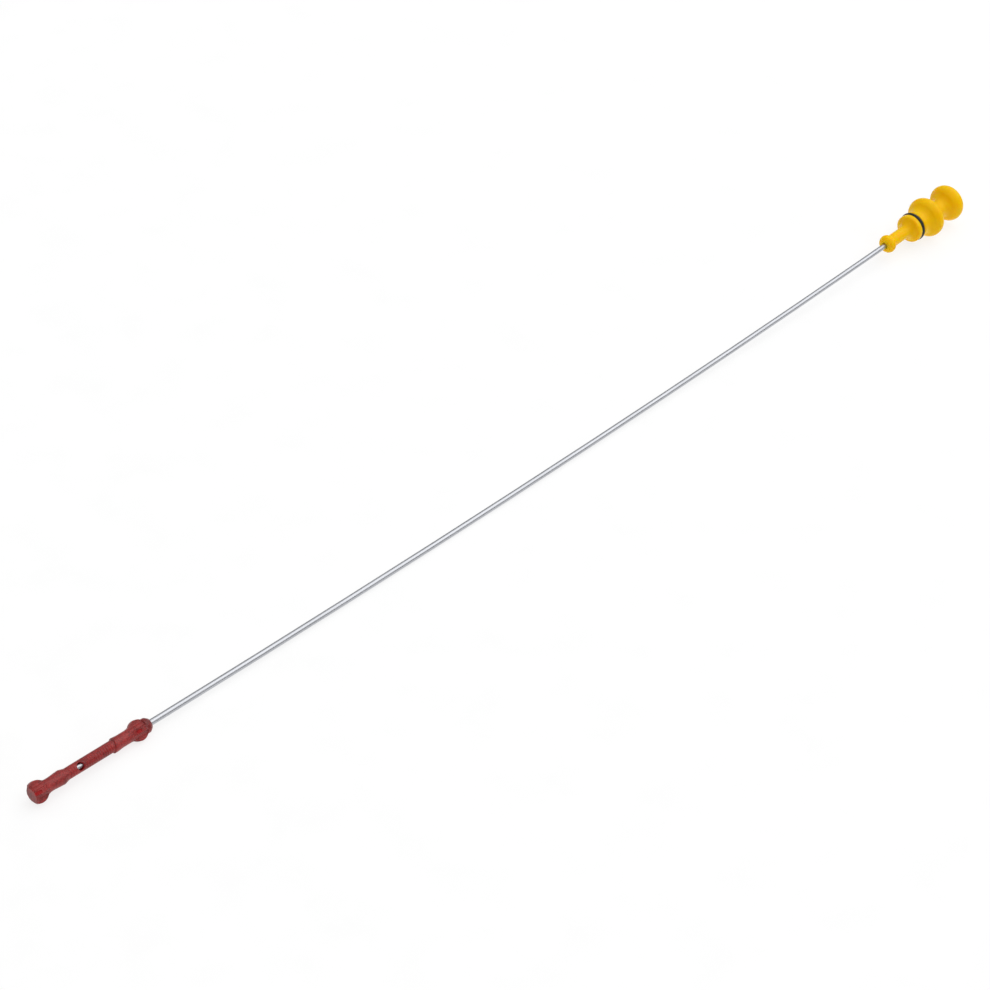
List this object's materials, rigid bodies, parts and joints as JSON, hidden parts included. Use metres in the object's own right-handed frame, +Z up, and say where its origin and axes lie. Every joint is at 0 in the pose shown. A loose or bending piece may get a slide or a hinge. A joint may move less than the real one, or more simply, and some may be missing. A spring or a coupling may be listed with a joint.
{
  "type": "engine oil dipstick",
  "caption": "Oil dipstick: bowed steel rod with a round moulded pull handle, a sealing plug and a finned, ribbed plastic gauge tip.",
  "frame": {"origin": "on the ground plane, under the centre of the dipstick's box as it lies at rest", "axes": "+X along the rod from the gauge tip to the handle, +Z up, +Y to the left looking along +X"},
  "size_m": [0.6797, 0.0234, 0.0235],
  "materials": {
    "yellow_moulding": "satin moulded yellow plastic",
    "black_ring": "smooth black rubber",
    "bright_rod": "bright drawn wire",
    "red_moulding": "matte moulded red plastic"
  },
  "bodies": {
    "root": {"handle": "yellow_moulding", "seal_ring": "black_ring", "rod": "bright_rod", "gauge_tip": "red_moulding"}
  },
  "joints": []
}
